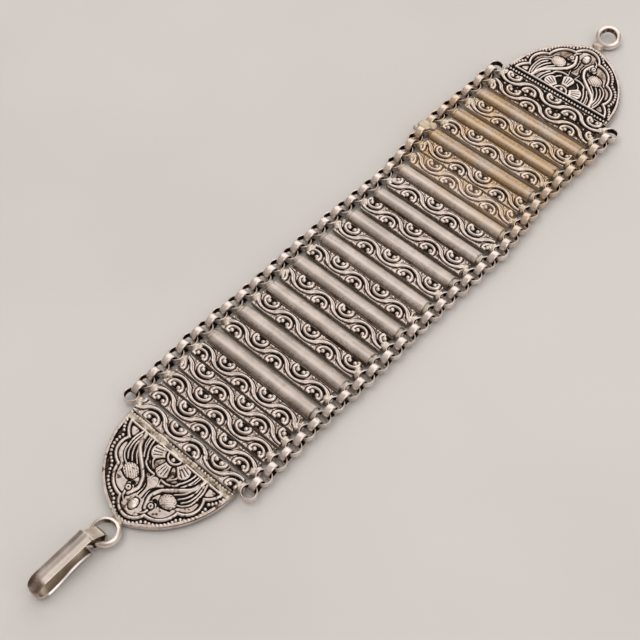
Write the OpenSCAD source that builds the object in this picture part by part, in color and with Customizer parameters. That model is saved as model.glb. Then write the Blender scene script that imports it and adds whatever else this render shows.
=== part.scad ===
/* [Chains] */
// Spacing of the bars along the bracelet
pitch = 4.4; // [4.35:0.05:4.6]
// Distance from the middle of the bracelet to the middle of each side chain
chain_y = 16.9; // [16.6:0.1:18]
// Outer radius of a chain ring
link_r = 1.8; // [1.75:0.05:1.9]
// Thickness of a chain ring's band
link_t = 0.45; // [0.35:0.05:0.5]
// Width of a chain ring's band
link_w = 1.6; // [1.3:0.1:1.6]

/* [Bars] */
// Length of a cross bar
bar_len = 29; // [28:0.5:29.5]
// Width of a cross bar
bar_w = 3.95; // [3.6:0.05:4]
// Height of a bar's underside above the surface that the bracelet lies on
back_z = 1; // [0.8:0.1:1.1]
// Thickness of a scroll bar or end panel under its relief
sheet_t = 1; // [0.8:0.1:1.2]
// Height of the stamped relief
relief_h = 0.42; // [0.2:0.02:0.6]
// Thickness of a plain bar's flat edges
flange_t = 0.5; // [0.4:0.05:0.8]
// Width of a plain bar's round crown
crown_w = 3.45; // [3:0.05:3.5]
// Full height of a plain bar
plain_h = 1.75; // [1.4:0.05:1.9]

/* [Scroll] */
// Length of one half wave of the vine
half_wave = 5.8; // [5.6:0.1:6.4]
// Sideways reach of the vine's middle line
vine_reach = 1.45; // [1.2:0.05:1.45]
// Distance between the vine's two ridges, middle to middle
vine_gap = 0.64; // [0.5:0.02:0.7]
// Width of each ridge of the vine
vine_w = 0.3; // [0.2:0.02:0.32]
// Radius of a leaf curl
curl_r = 1.6; // [1.3:0.05:1.6]
// Width of a leaf curl's ridge
curl_w = 0.5; // [0.3:0.05:0.6]
// Radius of the bead at each end of a curl
berry_r = 0.42; // [0.3:0.02:0.5]

/* [End panels] */
// Distance from a panel's scroll row to its tip
panel_len = 21.4; // [20.5:0.1:24]
// Half the panel's width where its arch starts
panel_half = 14.65; // [14.5:0.05:15]
// Sideways lean of the stamped tip
tip_lean = 2; // [0:0.1:2.2]
// Sideways place of the stamping between its two chain rings
panel_side = 0.4; // [0:0.1:0.4]
// Outer radius of the hook's ring
hook_ring_r = 3.3; // [3.25:0.05:3.4]
// Inner radius of the hook's ring
ring_hole_r = 2.3; // [2.2:0.05:2.35]
// Height of the hook's ring
ring_h = 1.8; // [1.6:0.1:1.8]
// Outer radius of the catch ring
catch_r = 3.25; // [3.15:0.05:3.4]
// Inner radius of the catch ring
catch_hole_r = 1.95; // [1.9:0.05:2]
// Height of the catch ring
catch_h = 2; // [1.8:0.1:2]
// Angle by which the catch ring leans out of the flat, degrees
catch_lean = 17; // [12:1:18]

/* [Hook] */
// Width of the hook's strip
hook_w = 3.3; // [3:0.05:3.5]
// Thickness of the hook's strip at its crown
hook_t = 0.95; // [0.85:0.05:1.1]
// Thickness of the lower arm and lip
lip_t = 0.6; // [0.5:0.05:0.7]
// Height of the whole hook
hook_h = 6.1; // [5.9:0.1:6.4]
// Length of the hook's straight upper arm
arm_len = 11.5; // [11:0.1:13]
// Steepest rise of the lower arm towards the upper arm, degrees
arm_rise = 14; // [12:1:15]
// Steepest fall of the lip, degrees
lip_fall = 24; // [22:1:26]
// Reach of the lower arm and lip past the middle of the bend
lip_reach = 10.4; // [9.5:0.1:10.6]

/* [Hidden] */
$fn = 48;
deep = 0.3;      // how far one soldered shape reaches into the next
edge_in = 0.05;  // relief stays this far inside the edge of the face below it
// One row a cross element, from the hook panel's scroll row (first) to the far panel's (last)
KIND = 0;   // scroll row, plain bar
SHIFT = 1;  // sideways shift of the element as the bracelet lies, mm
ALONG = 2;  // shift of the bar on its rings along the bracelet, mm
PHASE = 3;  // place along the bar of a curl that opens away from the hook, mm
ELEMENTS = [
    ["scroll",  0.2,  0.0, -1.9],
    ["scroll",  0.2,  0.0, -5.7],
    ["scroll",  0.3,  0.0, -6.0],
    ["scroll",  0.3,  0.0, -2.4],
    ["scroll",  0.6,  0.0, -4.7],
    ["plain",   0.3,  0.0,  0.0],
    ["scroll",  0.4,  0.0, -5.9],
    ["plain",   0.0,  0.0,  0.0],
    ["scroll", -0.1,  0.0, -0.45],
    ["plain",  -0.2,  0.0,  0.0],
    ["scroll", -0.2,  0.0, -2.5],
    ["plain",  -0.2,  0.0,  0.0],
    ["scroll", -0.2,  0.0, -4.7],
    ["plain",  -0.4,  0.0,  0.0],
    ["scroll", -0.3,  0.0, -0.3],
    ["plain",  -0.6,  0.0,  0.0],
    ["scroll", -0.8,  0.0,  1.1],
    ["plain",  -1.0,  0.0,  0.0],
    ["scroll", -1.3,  0.0,  2.7],
    ["plain",  -0.7,  0.0,  0.0],
    ["scroll", -0.4,  0.0, -2.4],
    ["scroll",  0.3,  0.0, -2.3],
    ["plain",   0.9,  0.0,  0.0],
    ["scroll",  0.8,  0.0, -5.3],
    ["plain",   0.7,  0.0,  0.0],
    ["scroll",  0.5,  0.0, -1.1],
    ["plain",   0.2,  0.0,  0.0],
    ["scroll",  0.3, -0.2, -2.8],
    ["scroll",  0.1, -0.6, -0.1]
];
last = len(ELEMENTS) - 1;
inner = [for (i = [1:last - 1]) i];
scrolls = [for (i = inner) if (ELEMENTS[i][KIND] == "scroll") i];
plains = [for (i = inner) if (ELEMENTS[i][KIND] == "plain") i];
function two(n) = n < 10 ? str("0", n) : str(n);

// Heights above the surface
ring_z = link_r;                // middle plane of all the flat rings
face_z = back_z + sheet_t;      // flat face under the relief

// Chain rings: a band with deep inner and light outer chamfers
band_in = 0.25;
band_out = 0.12;
lug_w = 1.6;
lug_h = 1;
lug_end = chain_y - link_r + deep;

// Vine: arcs that join without a corner
vine_end = 0.15;   // the scroll stops this far from a bar's ends
vine_r = (pow(half_wave / 2, 2) + pow(vine_reach, 2)) / (2 * vine_reach);
vine_a = asin(half_wave / 2 / vine_r);
curl_x = 1;
curl_a = 100;
berry_x = 1.05;
berry_y = 0.62;

// Stamped panel: d is the distance out from the scroll row, v the distance from its leaning middle line
art_side = 0.1;
art_lean = 0.075;
function at(d, v) = [d, art_side + v + art_lean * d];
row_in = 1.7;      // the scroll row's reach towards the bars
far_turn = 0.8;    // the far panel sits a little turned between its chain rings
arch_d = 2.5;
tip_cut = 0.25;
bead_row_d = 2.75;
bead_row_n = 34;
bead_row_pitch = 0.82;
bead_row_r = 0.33;
line_d = 4;
line_half = 12.6;
line_w = 0.45;
// Ridges of one half of the panel, from one point to the next with a bulge to the left
RD = 0;  // from: distance out
RV = 1;  // from: distance from the middle line
RE = 2;  // to: distance out
RW = 3;  // to: distance from the middle line
RB = 4;  // bulge
RT = 5;  // width of the ridge
SCALLOPS = [
    [ 4.0, 12.9,  7.0, 10.7, 0.4, 0.5],
    [ 7.0, 10.7, 12.6,  8.4, 1.6, 0.5],
    [12.6,  8.4, 17.2,  3.4, 1.3, 0.5]
];
tip_lobe = [17.2, 3.4, 2.5];
tip_lobe_w = 0.5;
FEATHERS = [
    [ 3.7, 8.5, 10.2, 6.3,  1.0, 0.4],
    [ 3.9, 7.9, 10.0, 5.6,  0.9, 0.35],
    [ 4.6, 9.4, 10.8, 7.0,  1.0, 0.35],
    [ 3.4, 7.4,  8.6, 5.4,  0.5, 0.6],
    [ 8.6, 5.4, 12.2, 1.6, -0.5, 0.6],
    [12.2, 1.6, 15.4, 1.5, -0.5, 0.6]
];
PETALS = [
    [ 5.3, 1.6,  6.4, 4.9, 0.0, 0.9],
    [ 4.4, 2.0,  4.6, 4.6, 0.0, 0.9],
    [ 3.9, 6.0,  8.3, 4.4, 1.2, 0.4],
    [ 8.3, 4.4,  9.6, 1.4, 0.5, 0.4]
];
body_at = [12.0, 4.7];
body_r = 2.1;
head_at = [14.8, 3.1];
head_r = 1.05;
bud_at = [16.2, 0];
bud_r = 1.2;
boss_r = 0.8;
boss_ring_r = 1.75;
boss_ring_w = 0.4;
middle_petal = [7.6, 0];
middle_petal_r = 1.5;
rim_w = 0.7;
rim_h = 0.25;
bead_r = 0.38;
bead_out = 1.05;   // distance of the beads from the scalloped line
bead_pitch = 1;

// Rings at the tips
hook_ring = [-24.65, -1.35];
catch_ring = [last * pitch + 26.05, 2.15];
lean_way = 25;     // direction of the catch ring's raised side, degrees from the length
ring_edge = 0.25;
ring_bite = 0.6;   // the solder reaches this far into a tip ring
panel_bite = 1;    // and this far under a panel
solder_w = 3.4;
solder_h = 0.8;
solder_z = 1.1;

// Hook, in its own plane, with z counted from the middle plane of the rings
hook_y = -0.65;
hook_top = hook_h - ring_z;
bend_r = hook_h / 2;
bend = [-39.7, hook_top - bend_r];
collar_x = bend[0] + arm_len;
crown_r = 2.19;
rise_ratio = (cos(arm_rise) - cos(lip_fall)) / (1 - cos(arm_rise));
lip_r = lip_reach / (rise_ratio * sin(arm_rise) + sin(arm_rise) + sin(lip_fall));
rise_r = rise_ratio * lip_r;
pin_in = 0.85;     // the hook turns about a line this far inside its ring's outer edge
pin = [hook_ring[0] - hook_ring_r + pin_in, 0];
eye_in = 1.26;
eye_t = 0.38;
eye_w = 2.8;
eye_y = -0.85;
step = 0.02;      // a shape that starts inside the last one is smaller by this much
eye_slack = [0.7, 0.1];
strap_lap = 0.1;   // the strap overlaps the arm above it by this much
lip_start = 1.5;   // degrees by which the lip starts inside the lower arm
strap_drop = 0.55;
strap_thin = [0.7, 1];    // slant of the strap's inner corner at the collar
strap_top = [collar_x, hook_top - strap_drop];
strap_end = [-30.2, hook_top - hook_t + strap_lap];

// The model's middle, so that its origin is at the bottom of its box's centre
catch_tube = catch_h / 2;
catch_reach = catch_tube + (catch_r - catch_tube) * sqrt(1 - pow(sin(catch_lean) * cos(lean_way), 2));
mid_x = (bend[0] - bend_r + catch_ring[0] + catch_reach) / 2;
mid_y = (max([for (e = ELEMENTS) e[SHIFT]]) + min([for (e = ELEMENTS) e[SHIFT]])) / 2;

module place() { translate([-mid_x, -mid_y, 0]) children(); }

// Part of a flat band round the origin, from -a to a
module arc_band(r, w, a) {
    reach = 2 * (r + w);
    intersection() {
        difference() {
            circle(r + w / 2);
            circle(r - w / 2);
        }
        polygon(concat([[0, 0]], [for (k = [-2:2]) reach * [cos(a * k / 2), sin(a * k / 2)]]));
    }
}

// Flat line from p to q that bulges to the left by b
module stroke(p, q, b, w) {
    c = norm(q - p);
    way = atan2(q[1] - p[1], q[0] - p[0]);
    if (b == 0) {
        translate(p) rotate(way) translate([0, -w / 2]) square([c, w]);
    } else {
        s = abs(b);
        r = (c * c / 4 + s * s) / (2 * s);
        side = b > 0 ? 90 : -90;
        translate((p + q) / 2) rotate(way + side) translate([s - r, 0])
            arc_band(r, w, asin(c / 2 / r));
    }
}

module raised(z, h) { translate([0, 0, z - deep]) linear_extrude(h + deep) children(); }

// Chain ring about Z
module chain_ring() {
    a = link_r - link_t;
    h = link_w / 2;
    rotate_extrude() polygon([
        [a + band_in, -h], [link_r - band_out, -h], [link_r, -h + band_out], [link_r, h - band_out],
        [link_r - band_out, h], [a + band_in, h], [a, h - band_in], [a, -h + band_in]
    ]);
}

// The two rings soldered to the ends of an element, and the solder
module end_rings() {
    for (s = [-1, 1]) {
        translate([0, s * chain_y, ring_z]) chain_ring();
        translate([-lug_w / 2, s > 0 ? bar_len / 2 - deep : -lug_end, ring_z - lug_h / 2])
            cube([lug_w, lug_end - bar_len / 2 + deep, lug_h]);
    }
}

module field_2d(left, half) { translate([-left, -half]) square([left + bar_w / 2 - edge_in, 2 * half]); }

// Running vine between y = -half and y = half
module vine_2d(phase, left, half) {
    turns = ceil((half + abs(phase)) / half_wave) + 1;
    intersection() {
        field_2d(left, half);
        for (k = [-turns:turns]) {
            side = k % 2 == 0 ? 1 : -1;
            y = phase + k * half_wave;
            if (abs(y) < half + half_wave / 2) {
                translate([side * (vine_r - vine_reach), y]) rotate(side > 0 ? 180 : 0) {
                    arc_band(vine_r - vine_gap / 2, vine_w, vine_a);
                    arc_band(vine_r + vine_gap / 2, vine_w, vine_a);
                }
            }
        }
    }
}

module curls_2d(phase, left, half) {
    turns = ceil((half + abs(phase)) / half_wave) + 1;
    intersection() {
        field_2d(left, half);
        for (k = [-turns:turns]) {
            side = k % 2 == 0 ? 1 : -1;
            y = phase + k * half_wave;
            if (abs(y) < half + curl_r) {
                translate([side * curl_x, y]) rotate(side > 0 ? 180 : 0)
                    arc_band(curl_r, curl_w, curl_a);
            }
        }
    }
}

module berries(phase, half) {
    turns = ceil((half + abs(phase)) / half_wave) + 1;
    for (k = [-turns:turns]) {
        side = k % 2 == 0 ? 1 : -1;
        for (s = [-1, 1]) {
            y = phase + k * half_wave + s * berry_y;
            if (abs(y) < half - berry_r) {
                translate([side * berry_x, y, face_z]) sphere(berry_r);
            }
        }
    }
}

module scroll_relief(phase, left) {
    half = bar_len / 2 - vine_end;
    raised(face_z, relief_h) vine_2d(phase, left, half);
    raised(face_z, relief_h) curls_2d(phase, left, half);
    berries(phase, half);
}

module scroll_bar(i) {
    e = ELEMENTS[i];
    color("rosybrown") place() translate([i * pitch, e[SHIFT], 0]) {
        end_rings();
        translate([e[ALONG], 0, 0]) {
            translate([-bar_w / 2, -bar_len / 2, back_z]) cube([bar_w, bar_len, sheet_t]);
            scroll_relief(e[PHASE], bar_w / 2 - edge_in);
        }
    }
}

module plain_bar(i) {
    e = ELEMENTS[i];
    rise = plain_h - flange_t;
    r = (crown_w * crown_w / 4 + rise * rise) / (2 * rise);
    color("silver") place() translate([i * pitch, e[SHIFT], 0]) {
        end_rings();
        translate([e[ALONG], 0, 0]) {
            translate([-bar_w / 2, -bar_len / 2, back_z]) cube([bar_w, bar_len, flange_t]);
            translate([0, bar_len / 2, back_z]) rotate([90, 0, 0]) linear_extrude(bar_len)
                intersection() {
                    translate([0, plain_h - r]) circle(r);
                    translate([-crown_w / 2, flange_t / 4]) square([crown_w, plain_h]);
                }
        }
    }
}

// Loose upright rings along one side, each turned a little where the bars shift
module chain(side) {
    color("gainsboro") place() for (i = [0:last - 1]) {
        y = (ELEMENTS[i][SHIFT] + ELEMENTS[i + 1][SHIFT]) / 2;
        yaw = atan2(ELEMENTS[i + 1][SHIFT] - ELEMENTS[i][SHIFT], pitch);
        translate([(i + 0.5) * pitch, y + side * chain_y, ring_z])
            rotate([90, 0, yaw]) chain_ring();
    }
}

// Outline of the stamped arch, pulled in by m
module arch_2d(m) {
    len_d = panel_len - arch_d;
    near = panel_half - tip_lean;
    wide = panel_half + tip_lean;
    r1 = (len_d * len_d + near * near) / (2 * near);
    r2 = (len_d * len_d + wide * wide) / (2 * wide);
    start = bar_w / 2 + m;
    translate([0, panel_side]) {
        translate([start, m - panel_half]) square([arch_d - start, 2 * (panel_half - m)]);
        intersection() {
            translate([arch_d, panel_half - r1]) circle(r1 - m);
            translate([arch_d, r2 - panel_half]) circle(r2 - m);
            translate([arch_d - edge_in, -panel_half])
                square([len_d + edge_in - tip_cut - m, 2 * panel_half]);
        }
    }
}

// One row of a ridge table, on the side s of the middle line
module ridge(row, s) {
    stroke(at(row[RD], s * row[RV]), at(row[RE], s * row[RW]), s * row[RB], row[RT]);
}

module panel_ridges_2d() {
    translate([line_d - line_w / 2, art_side - line_half]) square([line_w, 2 * line_half]);
    stroke(at(tip_lobe[0], tip_lobe[1]), at(tip_lobe[0], -tip_lobe[1]), tip_lobe[2], tip_lobe_w);
    for (s = [-1, 1]) {
        for (row = SCALLOPS) ridge(row, s);
        for (row = FEATHERS) ridge(row, s);
        for (row = PETALS) ridge(row, s);
    }
}

module panel_forms_2d() {
    for (s = [-1, 1]) {
        translate(at(body_at[0], s * body_at[1])) circle(body_r);
        translate(at(head_at[0], s * head_at[1])) circle(head_r);
    }
    translate(at(bud_at[0], 0)) circle(bud_r);
    translate(at(middle_petal[0], 0)) circle(middle_petal_r);
    translate(at(line_d, 0)) circle(boss_r);
    translate(at(line_d, 0)) difference() {
        circle(boss_ring_r);
        circle(boss_ring_r - boss_ring_w);
        translate([-2 * boss_ring_r, -boss_ring_r]) square(2 * boss_ring_r);
    }
}

// Beads that follow the scalloped line, one arc of beads for each lobe
module lobe_beads(p, q, b) {
    c = norm(q - p);
    r = (c * c / 4 + b * b) / (2 * b);
    a = asin(c / 2 / r);
    way = atan2(q[1] - p[1], q[0] - p[0]);
    n = round(2 * a * PI / 180 * (r + bead_out) / bead_pitch);
    translate((p + q) / 2) rotate(way + 90) translate([b - r, 0])
        for (k = [0:n - 1]) rotate(-a + (k + 0.5) * 2 * a / n) translate([r + bead_out, 0, face_z])
            sphere(bead_r, $fn = 24);
}

module panel_beads() {
    for (k = [0:bead_row_n - 1])
        translate([bead_row_d, art_side + (k - (bead_row_n - 1) / 2) * bead_row_pitch, face_z])
            sphere(bead_row_r);
    lobe_beads(at(tip_lobe[0], tip_lobe[1]), at(tip_lobe[0], -tip_lobe[1]), tip_lobe[2]);
    for (row = SCALLOPS) {
        lobe_beads(at(row[RD], row[RV]), at(row[RE], row[RW]), row[RB]);
        lobe_beads(at(row[RE], -row[RW]), at(row[RD], -row[RV]), row[RB]);
    }
}

// Stamped panel with its scroll row; +X is outwards
module panel(phase, shift, turn) {
    end_rings();
    translate([shift, 0, 0]) rotate(turn) {
        translate([0, 0, back_z]) linear_extrude(sheet_t) {
            translate([-row_in, -bar_len / 2]) square([row_in + bar_w / 2, bar_len]);
            arch_2d(0);
        }
        scroll_relief(phase, row_in - edge_in);
        raised(face_z, rim_h) difference() {
            arch_2d(edge_in);
            arch_2d(rim_w);
        }
        raised(face_z, relief_h) {
            panel_ridges_2d();
            panel_forms_2d();
        }
        panel_beads();
    }
}

// Ring of outer radius r and hole radius a with a round outside, its axis leaning by lean
module tip_ring(r, a, h, lean) {
    translate([0, 0, ring_z]) rotate(lean_way) rotate([0, -lean, 0]) rotate_extrude() intersection() {
        translate([r - h, 0]) circle(h);
        polygon([[a + ring_edge, -h], [r, -h], [r, h], [a + ring_edge, h], [a, h - ring_edge],
            [a, ring_edge - h]]);
    }
}

// Solder from a tip ring of outer radius r to its panel, on the ring's side s
module tip_solder(r, s, from) {
    reach = r - ring_bite;
    translate([s > 0 ? reach : -from, -solder_w / 2, solder_z]) cube([from - reach, solder_w, solder_h]);
}

module hook_end_panel() {
    e = ELEMENTS[0];
    color("darkgray") place() {
        translate([0, e[SHIFT], 0]) rotate(180) panel(-e[PHASE], e[ALONG], 0);
        translate(hook_ring) {
            tip_ring(hook_ring_r, ring_hole_r, ring_h / 2, 0);
            tip_solder(hook_ring_r, 1, -hook_ring[0] - panel_len + panel_bite);
        }
    }
}

module ring_end_panel() {
    e = ELEMENTS[last];
    color("darkgray") place() {
        translate([last * pitch, e[SHIFT], 0]) panel(e[PHASE], e[ALONG], far_turn);
        translate(catch_ring) {
            tip_ring(catch_r, catch_hole_r, catch_tube, catch_lean);
            tip_solder(catch_r, -1, catch_ring[0] - last * pitch - panel_len - e[ALONG] + panel_bite);
        }
    }
}

// Section of the hook's strip: x across, y out from its flat inside
module strip(t) {
    intersection() {
        translate([0, t - crown_r]) circle(crown_r);
        translate([-hook_w / 2, 0]) square([hook_w, t]);
    }
}

// Sets a shape drawn in x and z upright at the hook's middle
module upright() { translate([0, hook_y, ring_z]) rotate([90, 0, 0]) children(); }

// Point where a line from p touches the circle at c; side is 1 or -1
function touch(p, c, r, side) =
    let (a = atan2(p[1] - c[1], p[0] - c[0]) + side * acos(r / norm(p - c))) c + r * [cos(a), sin(a)];

// Round the ring's wall: from the collar down to one circle, along to the other and back up
module strap_2d(r, inset) {
    far = pin + eye_slack;
    top = strap_top - inset * strap_thin;
    end = strap_end + [inset, 0];
    below = r * [eye_slack[1], -eye_slack[0]] / norm(eye_slack);
    translate(pin) circle(r);
    translate(far) circle(r);
    polygon([top, touch(top, far, r, -1), far + below, pin + below, touch(end, pin, r, 1), end]);
}

module hook() {
    inside = bend_r - hook_t;
    offset_z = (hook_t - lip_t) / 2;
    rise_end = [bend[0] + rise_r * sin(arm_rise), rise_r * (1 - cos(arm_rise)) - ring_z];
    color("tan") place() {
        translate([bend[0], hook_y, ring_z + hook_top - hook_t])
            rotate([90, 0, 90]) linear_extrude(arm_len) strip(hook_t);
        upright() translate(bend) difference() {
            rotate(90) rotate_extrude(angle = 180) translate([inside - deep, 0]) rotate(-90) {
                translate([0, deep]) strip(hook_t);
                translate([-hook_w / 2, 0]) square([hook_w, 2 * deep]);
            }
            translate([0, -offset_z, -hook_w]) cylinder(r = inside + offset_z, h = 2 * hook_w);
        }
        upright() translate([bend[0], rise_r - ring_z]) rotate(-90)
            rotate_extrude(angle = arm_rise) translate([rise_r - lip_t, 0]) rotate(-90) strip(lip_t);
        upright() translate(rise_end + lip_r * [sin(arm_rise), -cos(arm_rise)]) rotate(90 - lip_fall)
            rotate_extrude(angle = arm_rise + lip_fall + lip_start)
                translate([lip_r + lip_t - step, 0]) rotate(90) strip(lip_t - 2 * step);
        translate([0, eye_y - hook_y, 0]) upright() translate([0, 0, -eye_w / 2])
            linear_extrude(eye_w) difference() {
            strap_2d(eye_in + eye_t, 0);
            intersection() {
                strap_2d(eye_in, eye_t);
                translate([bend[0], -hook_h]) square([2 * arm_len, hook_h + hook_top - hook_t]);
            }
        }
    }
}

hook_end_panel();
ring_end_panel();
chain(1);  // chain_left
chain(-1);  // chain_right
hook();
for (n = [1:len(scrolls)])
    scroll_bar(scrolls[n - 1]);
for (n = [1:len(plains)])
    plain_bar(plains[n - 1]);
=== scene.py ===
import math

import bpy
import numpy as np
from mathutils import Matrix, Vector


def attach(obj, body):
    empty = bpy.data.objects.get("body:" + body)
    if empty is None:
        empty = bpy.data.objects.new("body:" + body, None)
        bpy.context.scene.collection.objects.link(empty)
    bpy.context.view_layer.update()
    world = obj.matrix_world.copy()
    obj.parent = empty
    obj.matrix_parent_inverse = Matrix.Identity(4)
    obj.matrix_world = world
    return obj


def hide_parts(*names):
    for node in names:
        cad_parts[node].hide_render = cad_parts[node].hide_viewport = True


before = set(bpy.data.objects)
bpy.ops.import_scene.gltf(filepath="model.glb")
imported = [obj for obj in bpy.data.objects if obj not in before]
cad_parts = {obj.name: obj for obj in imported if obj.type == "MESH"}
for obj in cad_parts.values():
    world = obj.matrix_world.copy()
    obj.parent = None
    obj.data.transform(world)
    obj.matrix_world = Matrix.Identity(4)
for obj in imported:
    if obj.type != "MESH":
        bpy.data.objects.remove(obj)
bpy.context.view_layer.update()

# Sizes in millimetres, as in the solids
MM = 0.001
PITCH = 4.4
MID_X, MID_Y = 54.834786, -0.2
CHAIN_Y = 16.9
RING_Z = 1.8
BACK_Z = 1.0
FACE_Z = 2.0
BAR_LEN = 29.0
BAR_W = 3.95
LAST = 28
# Unevenness of stamped sheet, and how far its rims are rubbed down
SKIN, RIM_DROP = 0.015, 0.1

# Golden and duller from here to the ring end
GOLDEN_FROM = 20

# One row a cross element: kind, sideways shift, shift along,
# and the place of a curl that opens away from the hook
KIND, SHIFT, ALONG, PHASE = range(4)
ELEMENTS = [
    ("scroll", 0.2, 0.0, -1.9),
    ("scroll", 0.2, 0.0, -5.7),
    ("scroll", 0.3, 0.0, -6.0),
    ("scroll", 0.3, 0.0, -2.4),
    ("scroll", 0.6, 0.0, -4.7),
    ("plain", 0.3, 0.0, 0.0),
    ("scroll", 0.4, 0.0, -5.9),
    ("plain", 0.0, 0.0, 0.0),
    ("scroll", -0.1, 0.0, -0.45),
    ("plain", -0.2, 0.0, 0.0),
    ("scroll", -0.2, 0.0, -2.5),
    ("plain", -0.2, 0.0, 0.0),
    ("scroll", -0.2, 0.0, -4.7),
    ("plain", -0.4, 0.0, 0.0),
    ("scroll", -0.3, 0.0, -0.3),
    ("plain", -0.6, 0.0, 0.0),
    ("scroll", -0.8, 0.0, 1.1),
    ("plain", -1.0, 0.0, 0.0),
    ("scroll", -1.3, 0.0, 2.7),
    ("plain", -0.7, 0.0, 0.0),
    ("scroll", -0.4, 0.0, -2.4),
    ("scroll", 0.3, 0.0, -2.3),
    ("plain", 0.9, 0.0, 0.0),
    ("scroll", 0.8, 0.0, -5.3),
    ("plain", 0.7, 0.0, 0.0),
    ("scroll", 0.5, 0.0, -1.1),
    ("plain", 0.2, 0.0, 0.0),
    ("scroll", 0.3, -0.2, -2.8),
    ("scroll", 0.1, -0.6, -0.1),
]


def noise(x, y, size, seed):
    """Smooth noise between -1 and 1, in bumps of that size."""
    cells = 64
    g = np.random.default_rng(seed).uniform(-1, 1, (cells, cells))
    u, v = np.asarray(x, float) / size, np.asarray(y, float) / size
    i, j = np.floor(u).astype(int), np.floor(v).astype(int)
    u, v = u - i, v - j
    u, v = u * u * (3 - 2 * u), v * v * (3 - 2 * v)
    at = lambda a, b: g[(i + a) % cells, (j + b) % cells]
    near, far = at(0, 0) * (1 - u) + at(1, 0) * u, at(0, 1) * (1 - u) + at(1, 1) * u
    return near * (1 - v) + far * v


def ease(x, lo, hi):
    """From 0 at lo to 1 at hi, with a smooth start and end."""
    t = np.clip((x - lo) / (hi - lo), 0, 1)
    return t * t * (3 - 2 * t)


def ridge(dist, half, height):
    """A rounded ridge, by the distance from its middle line."""
    return height * np.clip(1 - (dist / half) ** 2, 0, 1) ** 0.6


def blurred(h, cells):
    """h averaged over about that many grid cells each way."""
    taps = np.exp(-0.5 * (np.arange(-2 * cells, 2 * cells + 1) / cells) ** 2)
    taps /= taps.sum()
    n = len(taps) // 2
    for axis in (0, 1):
        room = [(n, n) if a == axis else (0, 0) for a in (0, 1)]
        p = np.pad(h, room, mode="edge")
        size = h.shape[axis]
        h = sum(w * np.take(p, range(i, i + size), axis) for i, w in enumerate(taps))
    return h


class Shape:
    """The parts of one piece in millimetres, with how dark, how pale and how golden each point is,
    and how much wear and painted highlight it has.
    """

    def __init__(self):
        self.verts, self.faces, self.count = [], [], 0
        self.looks = {"dark": [], "worn": [], "pale": [], "gold": []}

    def add(self, verts, faces, **looks):
        """Adds a part; a look is one value for each point or one for all."""
        verts = np.asarray(verts, float).reshape(-1, 3)
        self.verts.append(verts)
        self.faces.extend((np.asarray(f) + self.count).tolist() for f in faces)
        for name, kept in self.looks.items():
            value = np.asarray(looks.get(name, 0.0), float).ravel()
            kept.append(np.broadcast_to(value, (len(verts),)) if value.size == 1 else value)
        self.count += len(verts)

    def turn(self, matrix):
        """Moves all parts so far."""
        m = np.array(matrix, float)
        self.verts = [v @ m[:3, :3].T + m[:3, 3] for v in self.verts]

    def piece(self, name, node, material, body="bracelet", crease=75):
        """Makes the object, which rides on its body and stands for its node."""
        me = bpy.data.meshes.new(name)
        me.from_pydata((np.vstack(self.verts) * MM).tolist(), [], self.faces)
        me.update()
        for look, kept in self.looks.items():
            layer = me.attributes.new(look, "FLOAT", "POINT")
            layer.data.foreach_set("value", np.clip(np.concatenate(kept), 0, 1).astype(np.float32))
        me.shade_smooth()
        me.set_sharp_from_angle(angle=math.radians(crease))
        me.materials.append(material)
        ob = bpy.data.objects.new(name, me)
        bpy.context.scene.collection.objects.link(ob)
        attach(ob, body)
        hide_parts(node)


# A wall's own looks start this far under the rim
FOLD = 0.04


def slab(shape, x, y, z, wall, **looks):
    """A height field over a grid, with walls that have their own looks and a flat underside."""
    ny, nx = x.shape
    i = np.arange(ny * nx).reshape(ny, nx)
    rim = np.concatenate([i[0, :-1], i[:-1, -1], i[-1, :0:-1], i[:0:-1, 0]])
    top = np.stack([x, y, z], -1).reshape(-1, 3)
    fold = top[rim] - [0, 0, FOLD]
    low = top[rim] * [1, 1, 0] + [0, 0, BACK_Z]
    below = np.arange(len(rim)) + ny * nx
    under = below + len(rim)
    quads = np.stack([i[:-1, :-1], i[:-1, 1:], i[1:, 1:], i[1:, :-1]], -1).reshape(-1, 4)
    walls = [
        np.stack([low_row, np.roll(low_row, -1), np.roll(high_row, -1), high_row], -1)
        for low_row, high_row in ((below, rim), (under, below))
    ]
    full = {}
    for name in {**looks, **wall}:
        value = np.broadcast_to(looks.get(name, 0.0), x.shape).ravel()
        full[name] = np.concatenate([value, np.full(2 * len(rim), wall.get(name, 0.0))])
    shape.add(np.vstack([top, fold, low]), [*quads, *walls[0], *walls[1], under[::-1]], **full)


def smoothed(points):
    """A closed outline with its corners cut."""
    near, far = 0.78, 0.22
    p = np.asarray(points, float)
    q = np.roll(p, -1, 0)
    return np.stack([near * p + far * q, far * p + near * q], 1).reshape(-1, 2)


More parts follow.
